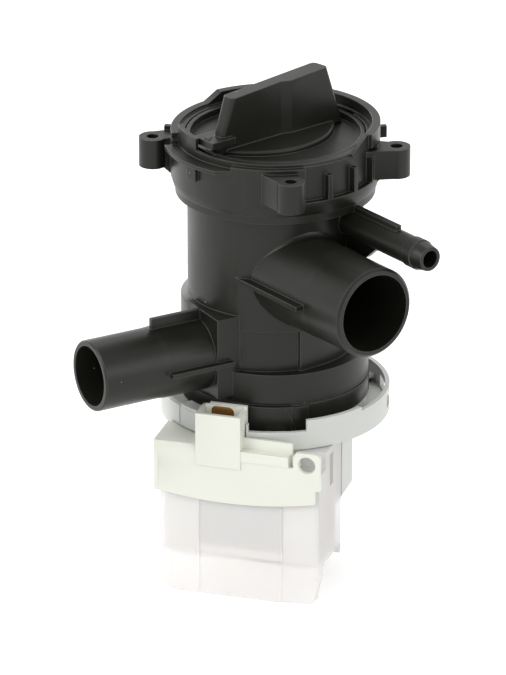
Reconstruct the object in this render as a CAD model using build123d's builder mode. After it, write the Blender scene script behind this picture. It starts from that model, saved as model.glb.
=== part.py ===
from build123d import *
from math import cos, radians, sin, sqrt
import os

# Drain pump of a washing machine: filter housing with three hose ports on top,
# synchronous motor below. Z is the pump axis and Z 0 is the plane that the motor
# stands on. X runs along the inlet and the vent nipple. All lengths are in mm.

# General fits
touch_gap = 0.3
overrun = 1.0
running_clearance = 0.04

# Directions about the pump axis, in degrees
motor_turn = 36
outlet_turn = -98
ear_turns = (231.2, 329.5, 41.5)
bayonet_turns = (-53.5, 66.5, 186.5)
bayonet_sweep = 26
foot_lead = 10
foot_rise = 0.4
foot_sweep = 15
catch_sweep = 12

# Motor heights, from the rest plane up
case_flange_gap = 0.5
case_underside = 16.2
stack_height = 24
cover_plate_height = 17.8

# Motor flange: cup ring, seat for the housing, spigot and rotor can
bayonet_thickness = 1.6
bayonet_drop = 3
bayonet_gap = 0.8
flange_wall = 2
flange_height = 11.2
flange_floor = 2.4
flange_lip_height = 1.6
flange_low_start = -51
flange_low_drop = 3.3
flange_lip_start = -21.5
flange_lip_sweep = 32.5
flange_window_start = 39
flange_window_sweep = 30
flange_window_height = 5.4
flange_window_rise = 3
seat_margin = 1.1
seat_height = 5.8
spigot_gap = 0.4
spigot_wall = 7.3
spigot_drop = 0.5
seal_groove_rise = 3.4
seal_groove_height = 3.2
seal_groove_depth = 2.4
plate_rebate_width = 2.5
plate_thickness = 3
can_radius = 15.4
can_wall = 1.2
can_floor = 3
can_step_height = 9
catch_width = 4.6
catch_thickness = 1.6
catch_rise = 2
cheek_gap = 0.4
cheek_thickness = 8.6
cheek_lead = 0.1
cheek_back = 3.3
cheek_overlap = 9

# Housing: heights are counted from the seat on the flange
collar_radius = 39.3
collar_wall = 3.1
collar_height = 11
collar_groove_rise = 8
collar_groove_width = 1.1
collar_groove_depth = 0.7
shoulder_height = 14.2
lower_body_margin = 4.8
body_shift = 3.3
body_shift_turn = -145
body_step = 0.3
body_slope = 2.7
seam_drop = 6.2
tube_inset = 2.6
housing_wall = 2.7
drum_height = 22.2
drum_step = 2.7
drum_edge_inset = 1.1
drum_edge_height = 3.6
neck_height = 3.6
neck_step = 0.7
neck_slope = 1.8
drum_top_gap = 1.4
rim_wall = 3.2
raised_wall_height = 4.6
raised_wall_thickness = 3.4
raised_wall_start = 28.5
raised_wall_sweep = 148.5
ramp_start = 10.5
ramp_end = 189.5
low_wall_end = 241
low_wall_height = 1
panel_step = 0.2
panel_start = -21
panel_sweep = 58
panel_floor_step = 6
rib_turns = (-6.5, 11.5, 29.5)
rib_width = 2
rib_reach = 3
rib_height = 10.8
ledge_overhang = 3.3
ledge_thickness = 1.6
ledge_drop = 1.7
ledge_start = -116
ledge_sweep = 46.5
ledge_end_sweep = 7
pocket_start = -91.5
pocket_sweep = 7.2
pocket_height = 6.4
guard_step = 1.3
guard_start = -118
guard_sweep = 27
guard_height = 5.2
side_rib_turns = (64.5, 220.5)
side_rib_reach = 3.6
side_rib_width = 2.4
side_rib_height = 5

# Housing chambers
mouth_step = 0.9
mouth_floor_gap = 3.3
divider_gap = 2.1
divider_thickness = 2.5
suction_radius = 11
volute_wall = 6.2
key_rib_width = 1.6
key_rib_gap = 4.4
key_rib_reach = 1.8

# Screw ears
ear_offset = 7.4
ear_radius = 5.8
ear_hole_radius = 2.6
ear_height = 12.6
ear_drop = 3.2
ear_web_half_width = 4.2
ear_web_near_widths = (0.8, 4.2, 4.2)
ear_web_spreads = (9.5, 12.2, 9.5)
gusset_drop = 3
gusset_inset = 4

# Inlet port
inlet_radius = 19.1
inlet_wall = 2.7
inlet_reach = 79.6
inlet_root_end = 58
inlet_offset = -10
inlet_floor_gap = 4.5
port_chamfer = 1.2
port_fin_width = 2
port_fin_reach = 2.4
inlet_fin_reach = 4
inlet_fin_start = 14
hose_stop_margin = 1

# Outlet port
outlet_radius = 15
outlet_wall = 2.25
outlet_passage_step = 2.25
outlet_passage_end = 36
outlet_reach = 91.3
hose_stop_step = 0.3
hose_stop_taper = 4
outlet_root_end = 64
outlet_offset = 6
outlet_collar_gap = 0.2
outlet_box_left = 10
outlet_box_right = 16
outlet_box_reach = 39.8
outlet_top_fin_end = 62.7
outlet_side_fin_start = 33
outlet_side_fin_end = 62

# Vent nipple and its web
nipple_radius = 6
nipple_bore = 3.7
nipple_reach = 89
nipple_offset = 11
nipple_gap = 2.6
nipple_taper_length = 5
nipple_taper = 0.9
nipple_bead_inset = 11
nipple_bead_length = 5
nipple_bead_height = 0.45
web_thickness = 2.6
web_top_gap = 2.1
web_end = 68.4
web_foot_end = 55.4
web_low_end = 48.4
web_low_drop = 6.1

# Filter cap: heights are counted down from its top edge
cap_gap = 0.6
cap_edge_width = 1.7
cap_height = 5.6
cap_drop = 0.2
cap_floor_drop = 3
plug_gap = 2
plug_wall = 4.6
plug_height = 7.6
plinth_inset = 3.4
plinth_half_width = 19.4
plinth_height = 2.2
plinth_round = 1.2
grip_height = 21.8
grip_turn = 9.5
grip_inset = 4
grip_lean = 5.4
grip_far_sides = (4.2, 4.2)
grip_near_sides = (4.2, 2)
grip_step_place = 3
grip_step_length = 4
grip_base_sides = (4.6, 3.1)
grip_end_round = 2
grip_hole_radius = 0.7
grip_hole_depth = 3
lever_turn = 2
lever_half_width = 5.9
lever_length = 12.3
lever_overhang = 0.7
lever_thickness = 2.8
lever_top_rise = 5
arrow_length = 3.4
arrow_width = 3.6
arrow_relief = 0.4
cam_turns = (12, 192)
cam_half_sweep = 9
cam_gap = 0.7
cam_height = 3
cam_rise = 1
slot_depth = 1.8
slot_gap = 0.4
slot_steps = 8
slot_turn = 80
slot_lift = 5

# Round seals: wire radius and centre radius
cap_seal_wire = 1.4
cap_seal_inset = 1.5
housing_seal_wire = 1.35
housing_seal_inset = 1

# Lint filter
filter_gap = 2.5
filter_wall = 2
filter_ring_height = 5
filter_floor_thickness = 1.8
filter_floor_hole = 12
filter_slot_count = 12
filter_slot_sweep = 14
filter_slot_step = 1
filter_window_start = -75
filter_window_sweep = 98
filter_top_band = 16.2
filter_key_width = 3.6
filter_key_reach = 1.9

# Rotor
shaft_radius = 2
shaft_start = 4
shaft_overlap = 15.6
magnet_gap = 1
magnet_bore = 6
magnet_overhang = 5
hub_disc_step = 2.2
hub_disc_thickness = 2
bearing_wall = 3
bearing_length = 7
bearing_mount_wall = 2.8
bearing_mount_lip = 1
front_bearing_drop = 13
plate_hub_wall = 2.2
plate_shaft_gap = 0.8
washer_width = 2.6
washer_thickness = 0.8
dog_wall = 1.6
dog_finger_reach = 1.7
dog_height = 4.6
dog_sweep = 60

# Impeller
impeller_tip_gap = 7.5
impeller_disc_thickness = 1.6
impeller_hub_wall = 2
dog_gap = 0.5
dog_head_room = 1.4
key_gap = 0.4
impeller_head_room = 3.4
impeller_nose_height = 2.6
blade_count = 6
blade_thickness = 1.8
blade_root_height = 14
impeller_floor_gap = 1.1

# Stator core, in the motor's own directions: sideways and forward
yoke_half_width = 18
yoke_gap = 0.4
yoke_depth = 11.5
leg_inner = 9
pole_half_width = 26
pole_wall = 3.1
pole_back = -22
pole_gap = 3
stator_gap = 0.4

# Coils
bobbin_gap = 0.2
bobbin_wall = 1.2
bobbin_front_gap = 0.5
bobbin_back_gap = 0.6
bobbin_inner = 0.4
bobbin_side_reach = 6.8
bobbin_flange_drop = 3.2
winding_thickness = 2.8
winding_middle_gap = 1.2
winding_round = 2.5

# Coil case
case_side_room = 0.4
case_wall = 1.6
socket_overhang = 2.6
case_back_gap = 0.4
case_room_above = 7.2
case_skirt_depth = 6
case_corner_rise = 12.6
case_corner_inset = 2.3
case_edge_rise = 1.8
case_edge_left = -26
case_edge_right = 16
case_skirt_wall = 3.6
case_foot_drop = 4.7
case_upper_height = 6.8
case_upper_inset = 10
case_upper_side = 2
case_rib_place = 18
case_rib_width = 1.2
case_rib_reach = 0.6
case_slot_inset = 16
case_slot_length = 5
case_slot_drop = 10.5
case_slot_height = 14

# Terminal cover
cover_side_wall = 1.9
cover_right_overhang = 0.8
cover_thickness = 2
cover_roof_thickness = 2.5
cover_roof_depth = 18
cover_left_rise = 1.7
cover_right_rise = 3.9
cover_arc_place = 12
box_height = 6.7
box_wall = 1.6
socket_left = -18.4
socket_right = 1.1
socket_bayonet_gap = 2.3
socket_depth = 11.4
socket_height = 20.9
socket_wall = 1.8
socket_back_rise = 1.3
socket_back_inset = 3.4
bar_tab_gap = 2.1
bar_rise = 1
bar_height = 4.7
bar_overhang = 2.4
bar_depth = 4.8
upstand_tab_gap = 1.4
upstand_height = 10.3
upstand_lead = 1
upstand_thickness = 1.6
cover_notch_width = 2.2
cover_notch_height = 9.5
tab_width = 11.6
tab_height = 8.2
tab_hole_radius = 3.75
tab_round = 2.5
tab_hole_rise = 2.9

# Terminals and thermal cut-out
blade_width = 6.3
blade_sheet = 0.8
blade_reach = 14
blade_places = (-13.4, -5)
cutout_length = 11
cutout_width = 5
cutout_height = 4
cutout_inset = 3.3

# Radii that follow from the sizes above, from the collar outwards and inwards
bayonet_radius = collar_radius + bayonet_thickness
seat_radius = collar_radius - seat_margin
collar_bore = collar_radius - collar_wall
spigot_radius = collar_bore - spigot_gap
spigot_bore = spigot_radius - spigot_wall
tube_radius = collar_radius - tube_inset
body_radius = tube_radius - body_step
volute_radius = tube_radius - volute_wall
impeller_radius = volute_radius - impeller_tip_gap
chamber_radius = tube_radius - housing_wall
mouth_radius = tube_radius + mouth_step
rim_radius = mouth_radius + rim_wall
drum_radius = rim_radius + drum_step
drum_edge_radius = drum_radius - drum_edge_inset
neck_radius = drum_edge_radius - neck_step
panel_inner = rim_radius + panel_step
ledge_radius = drum_radius + ledge_overhang
guard_inner = mouth_radius + guard_step
slot_radius = mouth_radius + slot_depth
cam_reach = slot_radius - cam_gap
cap_radius = mouth_radius - cap_gap
plug_radius = mouth_radius - plug_gap
plug_bore = plug_radius - plug_wall
cap_seal_radius = mouth_radius - cap_seal_inset
plinth_arc_radius = cap_radius - plinth_inset
grip_base_half_length = cap_radius - grip_inset
grip_top_half_length = grip_base_half_length - grip_lean
lever_end = mouth_radius + lever_overhang
lever_start = lever_end - lever_length
ear_pitch_radius = drum_radius + ear_offset
housing_seal_radius = spigot_radius - housing_seal_inset
filter_radius = chamber_radius - filter_gap
flange_radius = bayonet_radius + bayonet_gap + catch_width + flange_wall
inlet_bore = inlet_radius - inlet_wall
inlet_root_radius = inlet_radius + hose_stop_step
hose_stop_dip = hose_stop_step * hose_stop_margin / hose_stop_taper
outlet_bore = outlet_radius - outlet_wall
outlet_root_radius = outlet_radius + hose_stop_step
outlet_passage = outlet_bore - outlet_passage_step
stator_bore = can_radius + stator_gap
magnet_radius = can_radius - can_wall - magnet_gap
hub_disc_radius = magnet_radius - hub_disc_step
bearing_radius = shaft_radius + bearing_wall
bearing_mount_radius = bearing_radius + bearing_mount_wall
plate_hub_radius = bearing_mount_radius + plate_hub_wall
plate_shaft_hole = shaft_radius + plate_shaft_gap
washer_radius = shaft_radius + washer_width
dog_radius = shaft_radius + dog_wall
dog_finger_radius = dog_radius + dog_finger_reach
impeller_cavity_radius = dog_finger_radius + dog_gap
impeller_hub_radius = impeller_cavity_radius + impeller_hub_wall
impeller_key_inner = dog_radius + key_gap

# Widths and depths that follow, in the motor's directions and along the ports
pole_front = stator_bore + pole_wall
cheek_inner = pole_half_width + cheek_gap
cheek_outer = cheek_inner + cheek_thickness
cheek_front = pole_front + cheek_lead
case_back = cheek_front + case_back_gap
bobbin_back = case_back + bobbin_back_gap
socket_back = bayonet_radius + socket_bayonet_gap
socket_front = socket_back + socket_depth
case_front = socket_front - socket_overhang
yoke_front = case_front - case_wall - yoke_gap
yoke_back = yoke_front - yoke_depth
bobbin_front = yoke_back - bobbin_front_gap
winding_side_thickness = leg_inner - bobbin_gap - bobbin_wall - winding_middle_gap
bobbin_outer = yoke_half_width + bobbin_gap + bobbin_wall + winding_side_thickness + bobbin_side_reach
case_half_width = bobbin_outer + case_side_room + case_wall
case_upper_front = case_front - case_upper_inset
case_slot_front = case_front - case_slot_inset
cover_left = -(case_half_width + touch_gap + cover_side_wall)
cover_right = case_half_width + cover_right_overhang
cover_roof_back = case_front - cover_roof_depth
bar_front = case_front + bar_overhang
bar_back = bar_front - bar_depth
upstand_back = bar_back - upstand_lead
tab_left = cover_right - tab_width
tab_hole_place = (tab_left + cover_right) / 2
bar_right = tab_left - bar_tab_gap
upstand_right = tab_left - upstand_tab_gap
cutout_left = cover_left + cutout_inset
inlet_fin_end = inlet_root_end - hose_stop_margin
leg_middle = (leg_inner + yoke_half_width) / 2
leg_half_width = (yoke_half_width - leg_inner) / 2

# Heights that follow, from the coil case up to the cap
stack_bottom = case_underside + case_wall + touch_gap + winding_thickness + bobbin_wall + bobbin_gap
magnet_start = stack_bottom - magnet_overhang
magnet_length = stack_height + 2 * magnet_overhang
impeller_cavity_height = dog_height + dog_head_room
spigot_height = collar_height - spigot_drop
outlet_rise = collar_height + outlet_radius + outlet_collar_gap
lower_body_height = outlet_rise + outlet_radius + lower_body_margin
divider_rise = outlet_rise + outlet_passage + divider_gap
inlet_rise = divider_rise + divider_thickness + inlet_bore + inlet_floor_gap
nipple_rise = inlet_rise + inlet_radius + nipple_gap
drum_rise = nipple_rise + nipple_radius + drum_edge_height
body_height = drum_rise + drum_height
panel_floor_rise = drum_rise + panel_floor_step
mouth_depth = cap_drop + cap_height + plug_height + mouth_floor_gap
stack_top = stack_bottom + stack_height
cheek_bottom = stack_top - cheek_overlap
magnet_end = magnet_start + magnet_length
winding_bottom = stack_bottom - bobbin_gap - bobbin_wall
winding_top = stack_top + bobbin_gap + bobbin_wall
case_top = winding_top + winding_thickness + case_room_above + case_wall
case_upper_top = case_top + case_upper_height
skirt_height = case_upper_top + case_flange_gap
case_slot_bottom = case_top - case_slot_drop
seat_z = skirt_height + flange_floor + seat_height
flange_top = skirt_height + flange_height
floor_top = skirt_height + flange_floor
spigot_top = seat_z + spigot_height
front_bearing_start = spigot_top - front_bearing_drop
plate_bottom = spigot_top - plate_thickness
rim_top = seat_z + body_height
drum_bottom = seat_z + drum_rise
drum_top = rim_top - drum_top_gap
collar_top = seat_z + collar_height
shoulder_top = seat_z + shoulder_height
lower_body_top = seat_z + lower_body_height
body_wall_top = lower_body_top - body_slope
seam_z = lower_body_top - seam_drop
ledge_top = drum_top - ledge_drop
neck_bottom = drum_bottom - neck_height
divider_bottom = seat_z + divider_rise
divider_top = divider_bottom + divider_thickness
mouth_bottom = rim_top - mouth_depth
inlet_z = seat_z + inlet_rise
outlet_z = seat_z + outlet_rise
nipple_z = seat_z + nipple_rise
ear_top = rim_top - ear_drop
cap_top = rim_top - cap_drop
cap_bottom = cap_top - cap_height
cap_floor = cap_top - cap_floor_drop
plug_bottom = cap_bottom - plug_height
grip_top = cap_top + grip_height
plinth_top = cap_floor + plinth_height
cam_bottom = plug_bottom + cam_rise
filter_top = plug_bottom - touch_gap
filter_bottom = divider_top + touch_gap
filter_window_height = filter_top - filter_bottom - filter_ring_height - filter_top_band
filter_slot_height = filter_window_height - filter_slot_step
dog_bottom = spigot_top + impeller_floor_gap
impeller_bottom = spigot_top + impeller_floor_gap
shaft_end = impeller_bottom + shaft_overlap
impeller_height = divider_bottom - impeller_bottom - impeller_head_room
roof_bottom = case_top + touch_gap
roof_top = roof_bottom + cover_roof_thickness
cover_lower_edge = roof_top - cover_plate_height
cover_side_drop = cover_lower_edge + cover_left_rise
cover_right_drop = cover_lower_edge + cover_right_rise
box_top = roof_top + box_height
socket_top = roof_top + socket_height
bar_bottom = roof_top + bar_rise
bar_top = bar_bottom + bar_height
upstand_top = roof_top + upstand_height
cover_notch_top = cover_lower_edge + cover_notch_height
tab_top = roof_top + tab_height
cover_ear_height = roof_top + tab_hole_rise


def level(height, turn=0):
    """Horizontal plane at a height, turned about the pump axis."""
    return Plane.XY.offset(height).rotated((0, 0, turn))


def motor_face(forward):
    """Upright plane square to the motor's forward direction, seen from the front."""
    side = (cos(radians(motor_turn)), sin(radians(motor_turn)), 0)
    ahead = (sin(radians(motor_turn)), -cos(radians(motor_turn)), 0)
    return Plane(origin=tuple(forward * part for part in ahead), x_dir=side, z_dir=ahead)


def port_plane(turn, offset, height):
    """Plane across a port whose axis passes the pump axis at an offset."""
    ahead = (cos(radians(turn)), sin(radians(turn)), 0)
    origin = (-offset * ahead[1], offset * ahead[0], height)
    return Plane(origin=origin, x_dir=(-ahead[1], ahead[0], 0), z_dir=ahead)


def on_circle(radius, turn):
    return (radius * cos(radians(turn)), radius * sin(radians(turn)))


def sector(inner, outer, start, sweep, bottom, height, mode=Mode.ADD):
    """Part of a ring about the pump axis."""
    with BuildSketch(level(bottom)) as outline:
        with BuildLine():
            outer_arc = CenterArc((0, 0), outer, start, sweep)
            inner_arc = CenterArc((0, 0), inner, start, sweep)
            Line(outer_arc @ 0, inner_arc @ 0)
            Line(outer_arc @ 1, inner_arc @ 1)
        make_face()
    extrude(outline.sketch, amount=height, mode=mode)


def ring(inner, outer, bottom, height, mode=Mode.ADD):
    """Full ring about the pump axis; an inner radius of 0 gives a disc."""
    with BuildSketch(level(bottom)) as outline:
        Circle(outer)
        if inner > 0:
            Circle(inner, mode=Mode.SUBTRACT)
    extrude(outline.sketch, amount=height, mode=mode)


def block(left, right, back, front, bottom, top, turn=motor_turn, mode=Mode.ADD):
    """Box in the motor's directions: sideways from left to right, forward from back to front."""
    with BuildSketch(level(bottom, turn)) as outline:
        with Locations(((left + right) / 2, -(back + front) / 2)):
            Rectangle(right - left, front - back)
    extrude(outline.sketch, amount=top - bottom, mode=mode)


def turned(points, mode=Mode.ADD):
    """Solid of revolution about the pump axis from (radius, height) points."""
    with BuildSketch(Plane.XZ) as outline:
        with BuildLine():
            Polyline(*points, close=True)
        make_face()
    revolve(outline.sketch, axis=Axis.Z, mode=mode)


def round_bar(plane, radius, length, mode=Mode.ADD):
    """Cylinder that stands on a plane."""
    with BuildSketch(plane) as outline:
        Circle(radius)
    extrude(outline.sketch, amount=length, mode=mode)


def tapered_bar(plane, radius, length, tip_radius, tip_length):
    """Cylinder that stands on a plane and ends in a cone."""
    with BuildSketch(Plane(origin=plane.origin, x_dir=plane.z_dir, z_dir=plane.y_dir)) as outline:
        with BuildLine():
            Polyline((0, 0), (length, 0), (length, tip_radius), (length - tip_length, radius),
                     (0, radius), close=True)
        make_face()
    revolve(outline.sketch, axis=Axis(plane.origin, plane.z_dir))


def grip_outline(half_length, far_sides, near_sides):
    """Face of the cap's grip, wider to one side of a step in its near edge."""
    with BuildLine() as edge_line:
        Polyline((-far_sides[1], -half_length), (near_sides[1], -half_length),
                 (near_sides[1], grip_step_place - grip_step_length / 2),
                 (near_sides[0], grip_step_place + grip_step_length / 2),
                 (near_sides[0], half_length), (-far_sides[0], half_length), close=True)
    make_face(edge_line.edges())


# Housing shell

with BuildPart() as pump_housing:
    turned([
        (0, seat_z),
        (collar_radius, seat_z),
        (collar_radius, seat_z + collar_groove_rise),
        (collar_radius - collar_groove_depth, seat_z + collar_groove_rise),
        (collar_radius - collar_groove_depth, seat_z + collar_groove_rise + collar_groove_width),
        (collar_radius, seat_z + collar_groove_rise + collar_groove_width),
        (collar_radius, collar_top),
        (0, collar_top),
    ])
    turned([
        (0, seam_z),
        (tube_radius, seam_z),
        (tube_radius, neck_bottom - neck_slope),
        (neck_radius, neck_bottom),
        (neck_radius, drum_bottom - neck_step / 2),
        (drum_edge_radius, drum_bottom),
        (drum_radius, drum_bottom + drum_edge_height),
        (drum_radius, drum_top),
        (rim_radius, drum_top),
        (rim_radius, rim_top),
        (0, rim_top),
    ])

    # Lower body, set off the pump axis, with a flared foot and a sloping top
    body_centre = on_circle(body_shift, body_shift_turn)
    with BuildSketch(level(collar_top)) as flare_foot:
        Circle(collar_radius)
    with BuildSketch(level(shoulder_top)) as flare_top:
        with Locations(body_centre):
            Circle(body_radius)
    loft([flare_foot.sketch, flare_top.sketch])
    with BuildSketch(Plane(origin=(*body_centre, 0), x_dir=(1, 0, 0), z_dir=(0, -1, 0))) as body_outline:
        with BuildLine():
            Polyline((0, shoulder_top), (body_radius, shoulder_top),
                     (body_radius, body_wall_top), (body_radius - body_slope, lower_body_top),
                     (0, lower_body_top), close=True)
        make_face()
    revolve(body_outline.sketch, axis=Axis((*body_centre, 0), (0, 0, 1)))

    # Recessed panel between two ears, with its upright ribs
    sector(panel_inner, drum_radius + overrun, panel_start, panel_sweep,
           seat_z + panel_floor_rise, rim_top - seat_z - panel_floor_rise, Mode.SUBTRACT)
    for turn in rib_turns:
        with BuildSketch(level(seat_z + panel_floor_rise, turn)):
            with Locations((panel_inner - overrun, 0)):
                Rectangle(rib_reach + overrun, rib_width, align=(Align.MIN, Align.CENTER))
        extrude(amount=rib_height)
    for turn in side_rib_turns:
        with BuildSketch(level(drum_top - side_rib_height, turn)):
            with Locations((rim_radius, 0)):
                Rectangle(drum_radius + side_rib_reach - rim_radius, side_rib_width,
                          align=(Align.MIN, Align.CENTER))
        extrude(amount=side_rib_height)

    # Ledge, pocket lug and guard beside the cap's lever
    sector(rim_radius, drum_radius + overrun, ledge_start, ledge_sweep + ledge_end_sweep,
           ledge_top, ledge_drop + overrun, Mode.SUBTRACT)
    sector(rim_radius - overrun, ledge_radius, ledge_start, ledge_sweep,
           ledge_top - ledge_thickness, ledge_thickness)
    ledge_end = ledge_start + ledge_sweep
    with BuildSketch(level(ledge_top)):
        with BuildLine():
            Polyline(on_circle(rim_radius, ledge_end - ledge_end_sweep),
                     on_circle(ledge_radius, ledge_end),
                     on_circle(drum_radius, ledge_end + ledge_end_sweep),
                     on_circle(rim_radius, ledge_end + ledge_end_sweep), close=True)
        make_face()
    extrude(amount=-ledge_thickness)
    sector(drum_radius - overrun, ledge_radius - ledge_thickness, pocket_start, pocket_sweep,
           ledge_top - ledge_thickness - pocket_height, pocket_height)
    sector(guard_inner, rim_radius, guard_start, guard_sweep, rim_top, guard_height)

    # Raised wall round the back of the rim, with a sloping end and a lower run
    wall_inner = drum_radius - raised_wall_thickness
    sector(wall_inner, drum_radius, raised_wall_start, raised_wall_sweep,
           drum_top, rim_top + raised_wall_height - drum_top)
    raised_wall_end = raised_wall_start + raised_wall_sweep
    sector(wall_inner, drum_radius, raised_wall_end, low_wall_end - raised_wall_end,
           drum_top, rim_top + low_wall_height - drum_top)
    ramp_low = on_circle(rim_radius, ramp_start)
    ramp_high = on_circle(wall_inner, raised_wall_start)
    ramp_length = sqrt((ramp_high[0] - ramp_low[0]) ** 2 + (ramp_high[1] - ramp_low[1]) ** 2)
    ramp_direction = ((ramp_high[0] - ramp_low[0]) / ramp_length,
                      (ramp_high[1] - ramp_low[1]) / ramp_length, 0)
    ramp_plane = Plane(origin=(*ramp_low, 0), x_dir=ramp_direction,
                       z_dir=(ramp_direction[1], -ramp_direction[0], 0))
    with BuildSketch(ramp_plane):
        with BuildLine():
            Polyline((0, drum_top), (ramp_length + overrun, drum_top),
                     (ramp_length + overrun, rim_top + raised_wall_height),
                     (ramp_length, rim_top + raised_wall_height), (0, rim_top), close=True)
        make_face()
    extrude(amount=raised_wall_thickness / 2)
    slope_high = on_circle(drum_radius, raised_wall_end)
    slope_low = on_circle(drum_radius, ramp_end)
    slope_length = sqrt((slope_low[0] - slope_high[0]) ** 2 + (slope_low[1] - slope_high[1]) ** 2)
    slope_direction = ((slope_low[0] - slope_high[0]) / slope_length,
                       (slope_low[1] - slope_high[1]) / slope_length, 0)
    slope_plane = Plane(origin=(*slope_high, 0), x_dir=slope_direction,
                        z_dir=(slope_direction[1], -slope_direction[0], 0))
    with BuildSketch(slope_plane):
        with BuildLine():
            Polyline((-overrun, drum_top), (slope_length, drum_top), (slope_length, rim_top),
                     (0, rim_top + raised_wall_height), (-overrun, rim_top + raised_wall_height),
                     close=True)
        make_face()
    extrude(amount=-raised_wall_thickness)

    # Box at the outlet's root
    with BuildSketch(level(collar_top, outlet_turn)):
        with Locations((0, outlet_offset - outlet_box_left)):
            Rectangle(outlet_box_reach, outlet_box_left + outlet_box_right, align=(Align.MIN, Align.MIN))
    extrude(amount=lower_body_top - collar_top)

    # Ports
    inlet_plane = port_plane(0, inlet_offset, inlet_z)
    outlet_plane = port_plane(outlet_turn, outlet_offset, outlet_z)
    nipple_plane = port_plane(0, nipple_offset, nipple_z)
    round_bar(inlet_plane, inlet_radius, inlet_reach)
    inlet_mouth = faces().sort_by_distance(inlet_plane.offset(inlet_reach).origin)[0]
    chamfer(inlet_mouth.edges(), port_chamfer)
    round_bar(outlet_plane, outlet_radius, outlet_reach)
    outlet_mouth = faces().sort_by_distance(outlet_plane.offset(outlet_reach).origin)[0]
    chamfer(outlet_mouth.edges(), port_chamfer / 2)
    round_bar(nipple_plane, nipple_radius, nipple_reach)
    nipple_mouth = faces().sort_by_distance(nipple_plane.offset(nipple_reach).origin)[0]
    chamfer(nipple_mouth.edges(), length=nipple_taper_length, length2=nipple_taper)
    round_bar(nipple_plane.offset(nipple_reach - nipple_bead_inset),
              nipple_radius + nipple_bead_height, nipple_bead_length)

    # Thicker roots that stop the hoses, with a long taper at their ends
    tapered_bar(inlet_plane, inlet_root_radius, inlet_root_end + hose_stop_margin,
                inlet_radius - hose_stop_dip, hose_stop_taper + hose_stop_margin)
    tapered_bar(outlet_plane, outlet_root_radius, outlet_root_end + hose_stop_margin,
                outlet_radius - hose_stop_dip, hose_stop_taper + hose_stop_margin)

    # Web under and behind the nipple
    with BuildSketch(Plane.XZ.offset(-nipple_offset)):
        with BuildLine():
            Polyline(
                (chamber_radius, nipple_z + nipple_radius + web_top_gap),
                (web_end, nipple_z + nipple_radius + web_top_gap),
                (web_end, nipple_z),
                (web_foot_end, nipple_z - nipple_radius),
                (web_low_end, nipple_z - nipple_radius - web_low_drop),
                (chamber_radius, nipple_z - nipple_radius - 2 * web_low_drop),
                close=True,
            )
        make_face()
    extrude(amount=web_thickness / 2, both=True)

    # Fins on the ports
    with BuildSketch(level(inlet_z - port_fin_width / 2)):
        with BuildLine():
            Polyline(
                (0, inlet_offset - inlet_radius + overrun),
                (inlet_fin_end, inlet_offset - inlet_radius + overrun),
                (inlet_fin_end, inlet_offset - inlet_radius - inlet_fin_reach),
                (inlet_fin_start, inlet_offset - inlet_radius - inlet_fin_reach),
                close=True,
            )
        make_face()
    extrude(amount=port_fin_width)
    with BuildSketch(level(outlet_z - port_fin_width / 2, outlet_turn)):
        with Locations((outlet_side_fin_start, outlet_offset)):
            Rectangle(outlet_side_fin_end - outlet_side_fin_start,
                      outlet_radius + port_fin_reach + overrun, align=(Align.MIN, Align.MIN))
    extrude(amount=port_fin_width)
    with BuildSketch(level(outlet_z, outlet_turn)):
        with Locations((0, outlet_offset)):
            Rectangle(outlet_top_fin_end, port_fin_width, align=(Align.MIN, Align.CENTER))
    extrude(amount=lower_body_top - outlet_z)

    # Screw ears with their webs
    ear_bottom = ear_top - ear_height
    for turn, spread, near_width in zip(ear_turns, ear_web_spreads, ear_web_near_widths):
        with BuildSketch(level(ear_bottom, turn)):
            with Locations((ear_pitch_radius, 0)):
                Circle(ear_radius)
            with BuildLine():
                Polyline(
                    (rim_radius - overrun, -spread),
                    (rim_radius - overrun, near_width),
                    (ear_pitch_radius, ear_web_half_width),
                    (ear_pitch_radius, -ear_radius),
                    close=True,
                )
            make_face()
        extrude(amount=ear_height)
    for turn in (ear_turns[0], ear_turns[2]):
        with BuildSketch(Plane.XZ.rotated((0, 0, turn))):
            with BuildLine():
                Polyline(
                    (rim_radius, ear_bottom + overrun),
                    (ear_pitch_radius - gusset_inset, ear_bottom + overrun),
                    (ear_pitch_radius - gusset_inset, ear_bottom),
                    (drum_radius, ear_bottom - gusset_drop),
                    (rim_radius, ear_bottom - gusset_drop),
                    close=True,
                )
            make_face()
        extrude(amount=ear_web_half_width / 2, both=True)

    # Bayonet tabs that hang from the collar, each with a foot
    for turn in bayonet_turns:
        sector(seat_radius + touch_gap, bayonet_radius, turn, bayonet_sweep,
               floor_top + foot_rise, collar_top - bayonet_drop - floor_top - foot_rise)
        sector(collar_radius, flange_radius - flange_wall - catch_thickness, turn + foot_lead,
               foot_sweep, floor_top + foot_rise, catch_thickness - touch_gap)

    # Chambers
    ring(0, mouth_radius, mouth_bottom, mouth_depth + overrun, Mode.SUBTRACT)
    ring(0, chamber_radius, divider_top, mouth_bottom - divider_top, Mode.SUBTRACT)
    ring(0, suction_radius, divider_bottom, divider_thickness, Mode.SUBTRACT)
    ring(0, volute_radius, spigot_top, divider_bottom - spigot_top, Mode.SUBTRACT)
    ring(0, collar_bore, floor_top, spigot_top + touch_gap - floor_top, Mode.SUBTRACT)
    for side in (-1, 1):
        with BuildSketch(level(divider_top, 180)):
            with Locations((chamber_radius - key_rib_reach, side * key_rib_gap / 2)):
                Rectangle(key_rib_reach + overrun, key_rib_width,
                          align=(Align.MIN, Align.MIN if side > 0 else Align.MAX))
        extrude(amount=mouth_bottom - divider_top)

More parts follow.
